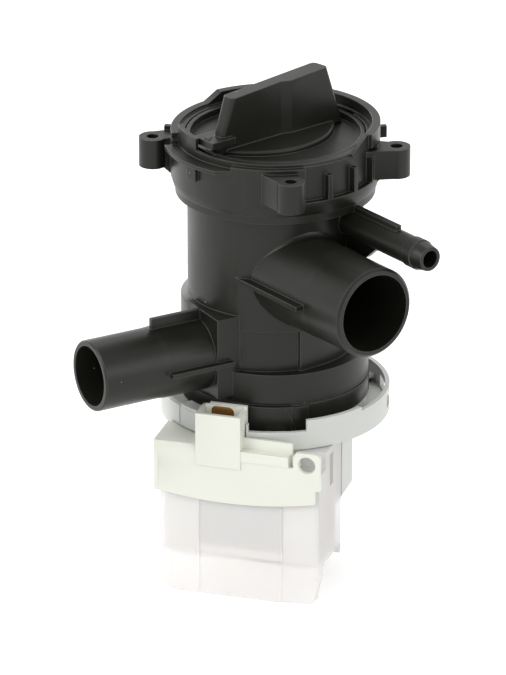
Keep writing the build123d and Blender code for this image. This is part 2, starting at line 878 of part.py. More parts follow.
    # Bores of the ports
    round_bar(inlet_plane, inlet_bore, inlet_reach, Mode.SUBTRACT)
    round_bar(nipple_plane, nipple_bore, nipple_reach, Mode.SUBTRACT)
    round_bar(outlet_plane.offset(outlet_passage_end), outlet_bore, outlet_reach, Mode.SUBTRACT)
    round_bar(outlet_plane.offset(outlet_radius), outlet_passage, outlet_passage_end, Mode.SUBTRACT)
    for turn in ear_turns:
        with BuildSketch(level(ear_top, turn)):
            with Locations((ear_pitch_radius, 0)):
                Circle(ear_hole_radius)
        extrude(amount=-ear_height, mode=Mode.SUBTRACT)

    # Rising slots for the cap's cams, open at the top at their ends
    for cam_turn in cam_turns:
        for step in range(slot_steps):
            sector(mouth_radius - overrun, slot_radius,
                   cam_turn - cam_half_sweep - slot_gap + step * slot_turn / slot_steps,
                   2 * cam_half_sweep + 2 * slot_gap + slot_turn / slot_steps,
                   cam_bottom - slot_gap + step * slot_lift / slot_steps,
                   cam_height + 2 * slot_gap + slot_lift / slot_steps, Mode.SUBTRACT)
        sector(mouth_radius - overrun, slot_radius, cam_turn + slot_turn - cam_half_sweep - slot_gap,
               2 * cam_half_sweep + 2 * slot_gap, cam_bottom + slot_lift,
               rim_top + raised_wall_height - cam_bottom - slot_lift, Mode.SUBTRACT)
pump_housing.part.label = "pump_housing"

# Filter cap with its grip and lever

with BuildPart() as filter_cap:
    turned([
        (0, cap_bottom),
        (plug_bore, cap_bottom),
        (plug_bore, plug_bottom),
        (plug_radius, plug_bottom),
        (plug_radius, cap_bottom - 2 * cap_seal_wire - touch_gap),
        (cap_seal_radius - cap_seal_wire, cap_bottom - 2 * cap_seal_wire - touch_gap),
        (cap_seal_radius - cap_seal_wire, cap_bottom),
        (cap_radius, cap_bottom),
        (cap_radius, cap_top),
        (cap_radius - cap_edge_width, cap_top),
        (cap_radius - cap_edge_width, cap_floor),
        (0, cap_floor),
    ])
    with BuildSketch(level(cap_floor, lever_turn)):
        with Locations((plinth_half_width - plinth_arc_radius, 0)):
            Circle(plinth_arc_radius)
        with Locations((plinth_arc_radius - plinth_half_width, 0)):
            Circle(plinth_arc_radius, mode=Mode.INTERSECT)
    extrude(amount=plinth_height)
    fillet(faces().filter_by(Plane.XY).filter_by(
        lambda face: abs(face.center().Z - plinth_top) < touch_gap).edges(), plinth_round)
    with BuildSketch(level(plinth_top - plinth_round, lever_turn)) as grip_base:
        grip_outline(grip_base_half_length, grip_base_sides, grip_base_sides)
        fillet(grip_base.vertices().group_by(Axis.Y)[-1], grip_end_round)
        fillet(grip_base.vertices().group_by(Axis.Y)[0], grip_end_round)
    with BuildSketch(level(grip_top, grip_turn)) as grip_ridge:
        grip_outline(grip_top_half_length, grip_far_sides, grip_near_sides)
        fillet(grip_ridge.vertices().group_by(Axis.Y)[-1], grip_end_round)
        fillet(grip_ridge.vertices().group_by(Axis.Y)[0], grip_end_round)
    loft([grip_base.sketch, grip_ridge.sketch])
    with BuildSketch(level(grip_top)):
        Circle(grip_hole_radius)
    extrude(amount=-grip_hole_depth, mode=Mode.SUBTRACT)
    lever_top = cap_top + lever_top_rise
    with BuildSketch(level(lever_top, lever_turn)):
        with Locations((0, -lever_start)):
            Rectangle(2 * lever_half_width, lever_end - lever_start, align=(Align.CENTER, Align.MAX))
    extrude(amount=-lever_thickness)
    with BuildSketch(level(lever_top, lever_turn)):
        with Locations((0, -(lever_end + grip_base_half_length) / 2)):
            Triangle(a=arrow_width, b=arrow_length, c=arrow_length)
    extrude(amount=arrow_relief)
    for cam_turn in cam_turns:
        sector(plug_bore, cam_reach, cam_turn - cam_half_sweep, 2 * cam_half_sweep,
               cam_bottom, cam_height)
filter_cap.part.label = "filter_cap"

with BuildPart() as cap_seal:
    with BuildSketch(Plane.XZ):
        with Locations((cap_seal_radius, cap_bottom - cap_seal_wire)):
            Circle(cap_seal_wire)
    revolve(axis=Axis.Z)
cap_seal.part.label = "cap_seal"

# Lint filter: slotted basket with a window towards the inlet

with BuildPart() as lint_filter:
    ring(filter_radius - filter_wall, filter_radius, filter_bottom, filter_top - filter_bottom)
    ring(filter_floor_hole, filter_radius, filter_bottom, filter_floor_thickness)
    slot_bottom = filter_bottom + filter_ring_height
    window_end = filter_window_start + filter_window_sweep
    sector(filter_radius - filter_wall - overrun, filter_radius + overrun, filter_window_start,
           filter_window_sweep, slot_bottom, filter_window_height, Mode.SUBTRACT)
    slot_pitch = (360 - filter_window_sweep) / filter_slot_count
    for slot in range(filter_slot_count):
        slot_start = window_end + slot_pitch * slot + (slot_pitch - filter_slot_sweep) / 2
        sector(filter_radius - filter_wall - overrun, filter_radius + overrun, slot_start,
               filter_slot_sweep, slot_bottom, filter_slot_height, Mode.SUBTRACT)
    with BuildSketch(level(filter_bottom, 180)):
        with Locations((filter_radius - filter_wall / 2, 0)):
            Rectangle(filter_wall / 2 + filter_key_reach, filter_key_width,
                      align=(Align.MIN, Align.CENTER))
    extrude(amount=filter_top - filter_bottom)
lint_filter.part.label = "lint_filter"

# Motor flange with the rotor can

with BuildPart() as motor_flange:
    turned([
        (0, 0),
        (can_radius, 0),
        (can_radius, skirt_height),
        (flange_radius, skirt_height),
        (flange_radius, flange_top),
        (flange_radius - flange_wall, flange_top),
        (flange_radius - flange_wall, floor_top),
        (can_radius, floor_top),
        (0, floor_top),
    ])
    sector(flange_radius - flange_wall, flange_radius, flange_lip_start, flange_lip_sweep,
           flange_top, flange_lip_height)
    sector(flange_radius - flange_wall - overrun, flange_radius + overrun, flange_low_start,
           flange_lip_start - flange_low_start, flange_top - flange_low_drop,
           flange_low_drop + overrun, Mode.SUBTRACT)
    sector(flange_radius - flange_wall - overrun, flange_radius + overrun, flange_window_start,
           flange_window_sweep, floor_top + flange_window_rise - flange_floor,
           flange_window_height, Mode.SUBTRACT)
    for turn in bayonet_turns:
        sector(flange_radius - flange_wall - catch_width, flange_radius - flange_wall / 2,
               turn + foot_lead, catch_sweep, floor_top + catch_rise, catch_thickness)

    # Room for the terminal cover and its socket
    block(cover_left - 2 * touch_gap, socket_left + 2 * touch_gap, cover_roof_back - 2 * touch_gap,
          flange_radius + overrun, skirt_height - overrun, box_top + 2 * touch_gap,
          mode=Mode.SUBTRACT)
    block(socket_left - 2 * touch_gap, socket_right + 2 * touch_gap, socket_back - 2 * touch_gap,
          flange_radius + overrun, skirt_height - overrun, flange_top + overrun,
          mode=Mode.SUBTRACT)
    turned([
        (spigot_bore, skirt_height),
        (seat_radius, skirt_height),
        (seat_radius, seat_z),
        (spigot_radius, seat_z),
        (spigot_radius, seat_z + seal_groove_rise),
        (spigot_radius - seal_groove_depth, seat_z + seal_groove_rise),
        (spigot_radius - seal_groove_depth, seat_z + seal_groove_rise + seal_groove_height),
        (spigot_radius, seat_z + seal_groove_rise + seal_groove_height),
        (spigot_radius, spigot_top),
        (spigot_bore + plate_rebate_width, spigot_top),
        (spigot_bore + plate_rebate_width, plate_bottom),
        (spigot_bore, plate_bottom),
    ])

    # Cheeks that hold the stator core
    for side in (-1, 1):
        block(min(side * cheek_inner, side * cheek_outer), max(side * cheek_inner, side * cheek_outer),
              cheek_back, cheek_front, cheek_bottom, skirt_height + flange_floor / 2)

    # Inside of the can, with a pocket for the rear bearing
    ring(0, can_radius - can_wall, can_floor + can_step_height, floor_top, Mode.SUBTRACT)
    ring(0, bearing_mount_radius + touch_gap / 2, can_floor, can_step_height, Mode.SUBTRACT)
motor_flange.part.label = "motor_flange"

with BuildPart() as housing_seal:
    with BuildSketch(Plane.XZ):
        with Locations((housing_seal_radius, seat_z + seal_groove_rise + seal_groove_height / 2)):
            Circle(housing_seal_wire)
    revolve(axis=Axis.Z)
housing_seal.part.label = "housing_seal"

# Bearing plate, bearings and their rubber mounts

front_mount_start = front_bearing_start - bearing_mount_lip
front_mount_end = front_bearing_start + bearing_length + bearing_mount_lip
rear_bearing_start = can_floor + bearing_mount_lip
rear_mount_end = rear_bearing_start + bearing_length

with BuildPart() as bearing_plate:
    ring(plate_shaft_hole, spigot_bore + plate_rebate_width - touch_gap / 2, plate_bottom,
         plate_thickness)
    ring(plate_shaft_hole, plate_hub_radius, front_mount_start, spigot_top - front_mount_start)
    ring(0, bearing_mount_radius, front_mount_start, front_mount_end - front_mount_start,
         Mode.SUBTRACT)
bearing_plate.part.label = "bearing_plate"

with BuildPart() as front_bearing_mount:
    ring(bearing_radius, bearing_mount_radius, front_mount_start, front_mount_end - front_mount_start)
    ring(plate_shaft_hole, bearing_radius, front_mount_start, bearing_mount_lip)
    ring(plate_shaft_hole, bearing_radius, front_mount_end - bearing_mount_lip, bearing_mount_lip)
front_bearing_mount.part.label = "front_bearing_mount"

with BuildPart() as rear_bearing_mount:
    ring(bearing_radius, bearing_mount_radius, can_floor, rear_mount_end - can_floor)
    ring(plate_shaft_hole, bearing_radius, can_floor, bearing_mount_lip)
rear_bearing_mount.part.label = "rear_bearing_mount"

with BuildPart() as front_bearing:
    ring(shaft_radius + running_clearance, bearing_radius, front_bearing_start, bearing_length)
front_bearing.part.label = "front_bearing"

with BuildPart() as rear_bearing:
    ring(shaft_radius + running_clearance, bearing_radius, rear_bearing_start, bearing_length)
rear_bearing.part.label = "rear_bearing"

# Rotor

with BuildPart() as rotor_shaft:
    ring(0, shaft_radius, shaft_start, shaft_end - shaft_start)
    chamfer(edges().filter_by(GeomType.CIRCLE), shaft_radius / 4)
rotor_shaft.part.label = "rotor_shaft"

with BuildPart() as rotor_magnet:
    ring(magnet_bore, magnet_radius, magnet_start, magnet_length)
rotor_magnet.part.label = "rotor_magnet"

with BuildPart() as rotor_hub:
    ring(shaft_radius, magnet_bore, magnet_start, magnet_length)
    ring(shaft_radius, hub_disc_radius, magnet_start - hub_disc_thickness, hub_disc_thickness)
    ring(shaft_radius, hub_disc_radius, magnet_end, hub_disc_thickness)
rotor_hub.part.label = "rotor_hub"

with BuildPart() as thrust_washers:
    ring(shaft_radius, washer_radius, rear_mount_end + washer_thickness / 2, washer_thickness)
    ring(shaft_radius, washer_radius, front_mount_start - washer_thickness - touch_gap,
         washer_thickness)
thrust_washers.part.label = "thrust_washers"

with BuildPart() as drive_dog:
    ring(shaft_radius, dog_radius, dog_bottom, dog_height)
    sector(dog_radius - shaft_radius / 2, dog_finger_radius, 180 - dog_sweep / 2, dog_sweep,
           dog_bottom, dog_height)
drive_dog.part.label = "drive_dog"

# Impeller

with BuildPart() as impeller:
    hub_top = impeller_bottom + impeller_height - impeller_nose_height
    turned([
        (0, impeller_bottom),
        (impeller_radius, impeller_bottom),
        (impeller_radius, impeller_bottom + impeller_disc_thickness),
        (impeller_hub_radius, impeller_bottom + impeller_disc_thickness),
        (impeller_hub_radius, hub_top - impeller_nose_height),
        (impeller_hub_radius / 2, hub_top),
        (0, hub_top),
    ])
    for blade in range(blade_count):
        blade_plane = Plane.XZ.rotated((0, 0, blade * 360 / blade_count))
        with BuildSketch(blade_plane):
            with BuildLine():
                Polyline(
                    (impeller_hub_radius / 2, impeller_bottom),
                    (impeller_radius, impeller_bottom),
                    (impeller_radius, impeller_bottom + impeller_height),
                    (impeller_hub_radius, impeller_bottom + blade_root_height),
                    (impeller_hub_radius / 2, impeller_bottom + blade_root_height),
                    close=True,
                )
            make_face()
        extrude(amount=blade_thickness / 2, both=True)
    ring(0, impeller_cavity_radius, impeller_bottom, impeller_cavity_height, Mode.SUBTRACT)
    ring(0, shaft_radius + running_clearance, impeller_bottom, shaft_end + touch_gap - impeller_bottom,
         Mode.SUBTRACT)
    sector(impeller_key_inner, impeller_cavity_radius + overrun, -dog_sweep / 2, dog_sweep,
           impeller_bottom, impeller_cavity_height)
impeller.part.label = "impeller"

# Stator core: a yoke, two legs and two poles round the rotor can

with BuildPart() as stator_core:
    block(-yoke_half_width, yoke_half_width, yoke_back, yoke_front, stack_bottom, stack_top)
    for side in (-1, 1):
        leg = sorted((side * leg_inner, side * yoke_half_width))
        block(leg[0], leg[1], pole_front - overrun, yoke_back, stack_bottom, stack_top)
        pole = sorted((side * pole_gap / 2, side * pole_half_width))
        block(pole[0], pole[1], pole_back, pole_front, stack_bottom, stack_top)
    ring(0, stator_bore, stack_bottom, stack_height, Mode.SUBTRACT)
stator_core.part.label = "stator_core"

# Coils, one round each leg

coil_bobbins = {}
coil_windings = {}
for name, side in (("left", -1), ("right", 1)):
    tube_half_width = leg_half_width + bobbin_gap + bobbin_wall
    with BuildPart() as bobbin:
        block(side * leg_middle - tube_half_width, side * leg_middle + tube_half_width,
              bobbin_back, bobbin_front, winding_bottom, winding_top)
        cheek = sorted((side * bobbin_inner, side * bobbin_outer))
        for back in (bobbin_back, bobbin_front - bobbin_wall):
            block(cheek[0], cheek[1], back, back + bobbin_wall,
                  winding_bottom - bobbin_flange_drop + touch_gap, winding_top + bobbin_flange_drop)
        block(side * leg_middle - leg_half_width - bobbin_gap,
              side * leg_middle + leg_half_width + bobbin_gap, bobbin_back - overrun,
              bobbin_front + overrun, stack_bottom - bobbin_gap, stack_top + bobbin_gap,
              mode=Mode.SUBTRACT)
    bobbin.part.label = f"coil_bobbin_{name}"
    coil_bobbins[name] = bobbin.part
    with BuildPart() as winding:
        block(side * leg_middle - tube_half_width - winding_side_thickness,
              side * leg_middle + tube_half_width + winding_side_thickness,
              bobbin_back + bobbin_wall, bobbin_front - bobbin_wall,
              winding_bottom - winding_thickness, winding_top + winding_thickness)
        motor_forward = Axis((0, 0, 0), motor_face(0).z_dir)
        fillet(edges().filter_by(motor_forward), winding_round)
        block(side * leg_middle - tube_half_width, side * leg_middle + tube_half_width,
              bobbin_back, bobbin_front, winding_bottom, winding_top, mode=Mode.SUBTRACT)
    winding.part.label = f"coil_winding_{name}"
    coil_windings[name] = winding.part

# Coil case: milky shell round both coils, with a skirt in front

with BuildPart() as coil_case:
    block(-case_half_width, case_half_width, case_back, case_front, case_underside, case_top)
    with BuildSketch(motor_face(case_front - case_skirt_depth)):
        with BuildLine():
            Polyline((-case_half_width, case_top), (-case_half_width, case_edge_rise),
                     (case_edge_left, 0), (case_edge_right, 0),
                     (case_half_width - case_corner_inset, case_edge_rise),
                     (case_half_width, case_corner_rise), (case_half_width, case_top), close=True)
        make_face()
    extrude(amount=case_skirt_depth)
    block(case_upper_side, case_half_width, case_back, case_upper_front, case_top, case_upper_top)
    side_cut = case_half_width - case_wall
    block(-side_cut, side_cut, case_back - overrun, case_front - case_wall,
          case_underside + case_wall, case_top - case_wall, mode=Mode.SUBTRACT)
    block(case_upper_side + case_wall, side_cut, case_back - overrun, case_upper_front - case_wall,
          case_top - case_wall, case_upper_top - case_wall, mode=Mode.SUBTRACT)
    skirt_cut = case_half_width - case_skirt_wall
    block(-skirt_cut, skirt_cut, case_front - case_skirt_depth - overrun, case_front - case_wall,
          -overrun, case_underside, mode=Mode.SUBTRACT)
    block(-case_half_width, case_half_width, case_back, case_back + case_wall,
          case_underside - case_foot_drop, case_underside + case_wall)
    for side in (-1, 1):
        rib_centre = side * case_rib_place
        block(rib_centre - case_rib_width / 2, rib_centre + case_rib_width / 2, case_front,
              case_front + case_rib_reach, case_wall, cover_lower_edge - overrun)
        slot_wall = sorted((side * (side_cut - overrun), side * (case_half_width + overrun)))
        block(slot_wall[0], slot_wall[1], case_slot_front - case_slot_length, case_slot_front,
              case_slot_bottom, case_slot_bottom + case_slot_height, mode=Mode.SUBTRACT)
coil_case.part.label = "coil_case"

# Terminal cover: plate with a curved lower edge, box, socket and tab

with BuildPart() as terminal_cover:
    with BuildSketch(motor_face(case_front)) as plate_outline:
        with BuildLine():
            lower_edge = ThreePointArc((cover_left + cover_thickness, cover_side_drop),
                                       (cover_arc_place, cover_lower_edge),
                                       (cover_right, cover_right_drop))
            Polyline(lower_edge @ 1, (cover_right, bar_bottom), (cover_left + cover_thickness, bar_bottom),
                     lower_edge @ 0)
        make_face()
        with BuildLine():
            Polyline((tab_left, roof_bottom - overrun), (cover_right, roof_bottom - overrun),
                     (cover_right, tab_top), (tab_left, tab_top), close=True)
        make_face()
        fillet(plate_outline.vertices().group_by(Axis.Y)[-1], tab_round)
        with Locations((tab_hole_place, cover_ear_height)):
            Circle(tab_hole_radius, mode=Mode.SUBTRACT)
    extrude(amount=cover_thickness)
    plate_front = case_front + cover_thickness
    block(cover_left, socket_right, cover_roof_back, plate_front, roof_bottom, roof_top)
    block(socket_right - overrun, tab_left, case_upper_front + touch_gap, plate_front,
          roof_bottom, roof_top)
    block(cover_left, socket_left, cover_roof_back, plate_front, roof_bottom, box_top)
    block(cover_left + box_wall, socket_left, cover_roof_back + box_wall, plate_front - box_wall,
          roof_top, box_top - box_wall, mode=Mode.SUBTRACT)
    block(cover_left, -case_half_width - touch_gap, cover_roof_back, plate_front,
          cover_side_drop, roof_top)
    block(socket_left, socket_right, socket_back, socket_front, roof_bottom, socket_top)
    block(socket_left + socket_wall, socket_right - socket_wall, socket_back + socket_wall,
          socket_front - socket_wall, roof_top, socket_top + overrun, mode=Mode.SUBTRACT)
    block(socket_left + socket_back_inset, socket_right, socket_back, socket_back + socket_wall,
          socket_top, socket_top + socket_back_rise)
    block(socket_right - overrun, bar_right, bar_back, bar_front, bar_bottom, bar_top)
    block(socket_right - overrun, upstand_right, upstand_back, upstand_back + upstand_thickness,
          roof_top - overrun, upstand_top)
    block(cover_right - cover_notch_width, cover_right + overrun, case_front, plate_front + overrun,
          cover_lower_edge, cover_notch_top, mode=Mode.SUBTRACT)
terminal_cover.part.label = "terminal_cover"

# Terminal blades and thermal cut-out

with BuildPart() as terminal_blades:
    blade_middle = (socket_back + socket_front) / 2
    for place in blade_places:
        block(place - blade_sheet / 2, place + blade_sheet / 2, blade_middle - blade_width / 2,
              blade_middle + blade_width / 2, roof_top, roof_top + blade_reach)
terminal_blades.part.label = "terminal_blades"

with BuildPart() as thermal_cutout:
    block(cutout_left, cutout_left + cutout_length, cover_roof_back + 2 * box_wall,
          cover_roof_back + 2 * box_wall + cutout_width, roof_top, roof_top + cutout_height)
thermal_cutout.part.label = "thermal_cutout"

os.makedirs("parts", exist_ok=True)
pieces = [
    pump_housing.part, filter_cap.part, cap_seal.part, lint_filter.part, motor_flange.part,
    housing_seal.part, bearing_plate.part, front_bearing_mount.part, rear_bearing_mount.part,
    front_bearing.part, rear_bearing.part, rotor_shaft.part, rotor_magnet.part, rotor_hub.part,
    thrust_washers.part, drive_dog.part, impeller.part, stator_core.part,
    *coil_bobbins.values(), *coil_windings.values(), coil_case.part, terminal_cover.part,
    terminal_blades.part, thermal_cutout.part,
]
for piece in pieces:
    export_step(piece, f"parts/{piece.label}.step")
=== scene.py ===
import bmesh
import bpy
import math
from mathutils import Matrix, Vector


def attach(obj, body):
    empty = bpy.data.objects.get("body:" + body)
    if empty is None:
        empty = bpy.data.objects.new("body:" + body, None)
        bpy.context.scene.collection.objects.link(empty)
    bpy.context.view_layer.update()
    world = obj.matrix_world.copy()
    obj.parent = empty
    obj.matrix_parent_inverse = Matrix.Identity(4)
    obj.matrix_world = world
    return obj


# Washer drain pump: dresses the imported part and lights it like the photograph.
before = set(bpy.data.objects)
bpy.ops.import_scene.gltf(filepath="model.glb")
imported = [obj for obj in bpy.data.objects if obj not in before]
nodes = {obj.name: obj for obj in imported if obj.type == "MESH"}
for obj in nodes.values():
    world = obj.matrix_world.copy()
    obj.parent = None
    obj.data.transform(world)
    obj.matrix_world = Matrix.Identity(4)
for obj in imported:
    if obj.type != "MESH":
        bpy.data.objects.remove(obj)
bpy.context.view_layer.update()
mm = 0.001

# Camera that took the photograph
cameraView = {
    "place": (1.8431, -1.4157, 1.0742),
    "direction": (-0.7333, 0.5586, -0.3875),
    "focalPixels": 6000,
    "imageHeight": 675,
    "sensorHeight": 24,
    "clipStart": 0.01,
}


def addCamera(view):
    data = bpy.data.cameras.new("photoCamera")
    data.sensor_fit = "VERTICAL"
    data.sensor_height = view["sensorHeight"]
    data.lens = view["focalPixels"] / view["imageHeight"] * view["sensorHeight"]
    data.clip_start = view["clipStart"]
    camera = bpy.data.objects.new("photoCamera", data)
    camera.location = view["place"]
    camera.rotation_euler = Vector(view["direction"]).to_track_quat("-Z", "Y").to_euler()
    bpy.context.scene.collection.objects.link(camera)
    bpy.context.scene.camera = camera


addCamera(cameraView)
print("camera ready")

# Shader helpers
floatSocket = "NodeSocketFloat"
vectorSocket = "NodeSocketVector"


def addNode(tree, kind, place, values=None, **settings):
    node = tree.nodes.new(kind)
    node.location = place
    for name, value in settings.items():
        setattr(node, name, value)
    for socket, value in (values or {}).items():
        node.inputs[socket].default_value = value
    return node


def newGroup(name, inputs, outputs):
    tree = bpy.data.node_groups.new(name, "ShaderNodeTree")
    for socket, value in inputs:
        made = tree.interface.new_socket(name=socket, in_out="INPUT", socket_type=floatSocket)
        made.default_value = value
    for socket in outputs:
        tree.interface.new_socket(name=socket, in_out="OUTPUT", socket_type=floatSocket)
    start = addNode(tree, "NodeGroupInput", (-900, 0))
    end = addNode(tree, "NodeGroupOutput", (900, 0))
    return tree, start, end


def mouldGrain():
    tree, start, end = newGroup("mouldGrain", [("Scale", 900), ("Mottle Scale", 60)], ["Height", "Mottle"])
    place = addNode(tree, "ShaderNodeTexCoord", (-700, 200))
    fine = addNode(tree, "ShaderNodeTexNoise", (-400, 200), {"Detail": 3, "Roughness": 0.6})
    broad = addNode(tree, "ShaderNodeTexNoise", (-400, -200), {"Detail": 2})
    link = tree.links.new
    link(place.outputs["Object"], fine.inputs["Vector"])
    link(place.outputs["Object"], broad.inputs["Vector"])
    link(start.outputs["Scale"], fine.inputs["Scale"])
    link(start.outputs["Mottle Scale"], broad.inputs["Scale"])
    link(fine.outputs["Fac"], end.inputs["Height"])
    link(broad.outputs["Fac"], end.inputs["Mottle"])
    return tree


def dustSpecks():
    tree, start, end = newGroup("dustSpecks", [("Scale", 120), ("Size", 0.05), ("Amount", 0.2)], ["Mask"])
    place = addNode(tree, "ShaderNodeTexCoord", (-700, 100))
    cells = addNode(tree, "ShaderNodeTexVoronoi", (-450, 100))
    chance = addNode(tree, "ShaderNodeSeparateColor", (-200, -100))
    near = addNode(tree, "ShaderNodeMath", (0, 150), operation="LESS_THAN")
    chosen = addNode(tree, "ShaderNodeMath", (0, -100), operation="LESS_THAN")
    both = addNode(tree, "ShaderNodeMath", (250, 50), operation="MULTIPLY")
    link = tree.links.new
    link(place.outputs["Object"], cells.inputs["Vector"])
    link(start.outputs["Scale"], cells.inputs["Scale"])
    link(cells.outputs["Distance"], near.inputs[0])
    link(start.outputs["Size"], near.inputs[1])
    link(cells.outputs["Color"], chance.inputs["Color"])
    link(chance.outputs[0], chosen.inputs[0])
    link(start.outputs["Amount"], chosen.inputs[1])
    link(near.outputs[0], both.inputs[0])
    link(chosen.outputs[0], both.inputs[1])
    link(both.outputs[0], end.inputs["Mask"])
    return tree


# Edge mask for a painted highlight, a lighter colour along sharp edges, and the rounded-edge normal for the
# bump
def edgeRoundingAndPaintedHighlight():
    tree, start, end = newGroup("edgeRoundingAndPaintedHighlight", [("Width", 0.0006), ("Strength", 3)], ["Mask"])
    tree.interface.new_socket(name="Normal", in_out="OUTPUT", socket_type=vectorSocket)
    rounded = addNode(tree, "ShaderNodeBevel", (-500, 100), samples=4)
    surface = addNode(tree, "ShaderNodeNewGeometry", (-500, -150))
    along = addNode(tree, "ShaderNodeVectorMath", (-200, 0), operation="DOT_PRODUCT")
    turned = addNode(tree, "ShaderNodeMath", (50, 0), operation="SUBTRACT")
    turned.inputs[0].default_value = 1
    scaled = addNode(tree, "ShaderNodeMath", (300, 0), operation="MULTIPLY", use_clamp=True)
    link = tree.links.new
    link(start.outputs["Width"], rounded.inputs["Radius"])
    link(rounded.outputs["Normal"], along.inputs[0])
    link(surface.outputs["Normal"], along.inputs[1])
    link(along.outputs["Value"], turned.inputs[1])
    link(turned.outputs[0], scaled.inputs[0])
    link(start.outputs["Strength"], scaled.inputs[1])
    link(scaled.outputs[0], end.inputs["Mask"])
    link(rounded.outputs["Normal"], end.inputs["Normal"])
    return tree


# Painted shade: a mask of creases and corners from ambient occlusion, where the colour is darkened
def creaseShade():
    tree, start, end = newGroup("creaseShade", [("Distance", 0.003), ("Strength", 1)], ["Mask"])
    hidden = addNode(tree, "ShaderNodeAmbientOcclusion", (-400, 0), samples=8)
    turned = addNode(tree, "ShaderNodeMath", (-100, 0), operation="SUBTRACT")
    turned.inputs[0].default_value = 1
    scaled = addNode(tree, "ShaderNodeMath", (200, 0), operation="MULTIPLY", use_clamp=True)
    link = tree.links.new
    link(start.outputs["Distance"], hidden.inputs["Distance"])
    link(hidden.outputs["AO"], turned.inputs[1])
    link(turned.outputs[0], scaled.inputs[0])
    link(start.outputs["Strength"], scaled.inputs[1])
    link(scaled.outputs[0], end.inputs["Mask"])
    return tree


def stackLines():
    tree, start, end = newGroup("stackLines", [("Pitch", 0.0005), ("Dark Share", 0.3)], ["Mask"])
    place = addNode(tree, "ShaderNodeTexCoord", (-700, 0))
    parts = addNode(tree, "ShaderNodeSeparateXYZ", (-500, 0))
    count = addNode(tree, "ShaderNodeMath", (-250, 0), operation="DIVIDE")
    cycle = addNode(tree, "ShaderNodeMath", (0, 0), operation="FRACT")
    dark = addNode(tree, "ShaderNodeMath", (250, 0), operation="LESS_THAN")
    link = tree.links.new
    link(place.outputs["Object"], parts.inputs["Vector"])
    link(parts.outputs["Z"], count.inputs[0])
    link(start.outputs["Pitch"], count.inputs[1])
    link(count.outputs[0], cycle.inputs[0])
    link(cycle.outputs[0], dark.inputs[0])
    link(start.outputs["Dark Share"], dark.inputs[1])
    link(dark.outputs[0], end.inputs["Mask"])
    return tree


def heightFade():
    tree, start, end = newGroup("heightFade", [("Low", 0.0), ("High", 0.05)], ["Share"])
    place = addNode(tree, "ShaderNodeTexCoord", (-700, 0))
    parts = addNode(tree, "ShaderNodeSeparateXYZ", (-500, 0))
    spread = addNode(tree, "ShaderNodeMapRange", (-200, 0), interpolation_type="SMOOTHSTEP")
    link = tree.links.new
    link(place.outputs["Object"], parts.inputs["Vector"])
    link(parts.outputs["Z"], spread.inputs["Value"])
    link(start.outputs["Low"], spread.inputs["From Min"])
    link(start.outputs["High"], spread.inputs["From Max"])
    link(spread.outputs["Result"], end.inputs["Share"])
    return tree


groups = {"grain": mouldGrain(), "dust": dustSpecks(), "edges": edgeRoundingAndPaintedHighlight(), "crease": creaseShade(),
          "stack": stackLines(), "fade": heightFade()}


def useGroup(tree, name, place, **values):
    node = addNode(tree, "ShaderNodeGroup", place)
    node.node_tree = groups[name]
    for socket, value in values.items():
        node.inputs[socket.replace("_", " ")].default_value = value
    return node


# A Mix node's sockets by number, because its float and colour sockets share their names
colourMix = {"first": 6, "second": 7, "result": 2}
numberMix = {"first": 2, "second": 3}


def mixColour(tree, place, factor, first, second):
    node = addNode(tree, "ShaderNodeMix", place, data_type="RGBA")
    for side, value in (("first", first), ("second", second)):
        socket = node.inputs[colourMix[side]]
        if isinstance(value, tuple):
            socket.default_value = (*value, 1)
        else:
            tree.links.new(value, socket)
    tree.links.new(factor, node.inputs["Factor"])
    return node.outputs[colourMix["result"]]


def newMaterial(name, look):
    material = bpy.data.materials.new(name)
    material.use_nodes = True
    tree = material.node_tree
    shader = tree.nodes["Principled BSDF"]
    shader.location = (600, 0)
    tree.nodes["Material Output"].location = (950, 0)
    for socket, value in look["sockets"].items():
        shader.inputs[socket].default_value = value
    grain = useGroup(tree, "grain", (-600, 0), Scale=look["grainScale"], Mottle_Scale=look["mottleScale"])
    return material, tree, shader, grain


# The noise runs over about this stretch, which the roughness is spread across
mottleRange = {"From Min": 0.3, "From Max": 0.7}


def finishSurface(tree, shader, look, mottle, colour, height):
    tree.links.new(colour, shader.inputs["Base Color"])
    smooth, rough = look["roughness"]
    spread = addNode(tree, "ShaderNodeMapRange", (300, -200),
                     {**mottleRange, "To Min": smooth, "To Max": rough})
    tree.links.new(mottle, spread.inputs["Value"])
    tree.links.new(spread.outputs["Result"], shader.inputs["Roughness"])
    bump = addNode(tree, "ShaderNodeBump", (300, -450),
                   {"Strength": look["grainStrength"], "Distance": look["grainDepth"]})
    tree.links.new(height, bump.inputs["Height"])
    tree.links.new(bump.outputs["Normal"], shader.inputs["Normal"])
    return bump


def mouldedPlastic(name, look):
    material, tree, shader, grain = newMaterial(name, look)
    colour = mixColour(tree, (-300, 300), grain.outputs["Mottle"], look["shade"], look["light"])
    if "paintedEdgeHighlight" in look:
        # Painted highlight: the colour is lightened along edges
        edges = useGroup(tree, "edges", (-600, 300), Width=look["edgeWidth"], Strength=look["edgeStrength"])
        colour = mixColour(tree, (-100, 300), edges.outputs["Mask"], colour, look["paintedEdgeHighlight"])
    if "paintedCreaseShade" in look:
        # Painted shade: the colour is darkened in creases and corners
        crease = useGroup(tree, "crease", (-600, 500), Distance=look["creaseReach"],
                          Strength=look["creaseStrength"])
        colour = mixColour(tree, (50, 350), crease.outputs["Mask"], colour, look["paintedCreaseShade"])
    if "dustColour" in look:
        dust = useGroup(tree, "dust", (-600, -300), Scale=look["dustScale"], Size=look["dustSize"],
                        Amount=look["dustAmount"])
        colour = mixColour(tree, (200, 300), dust.outputs["Mask"], colour, look["dustColour"])
    bump = finishSurface(tree, shader, look, grain.outputs["Mottle"], colour, grain.outputs["Height"])
    if "paintedEdgeHighlight" in look:
        tree.links.new(edges.outputs["Normal"], bump.inputs["Normal"])
    return material


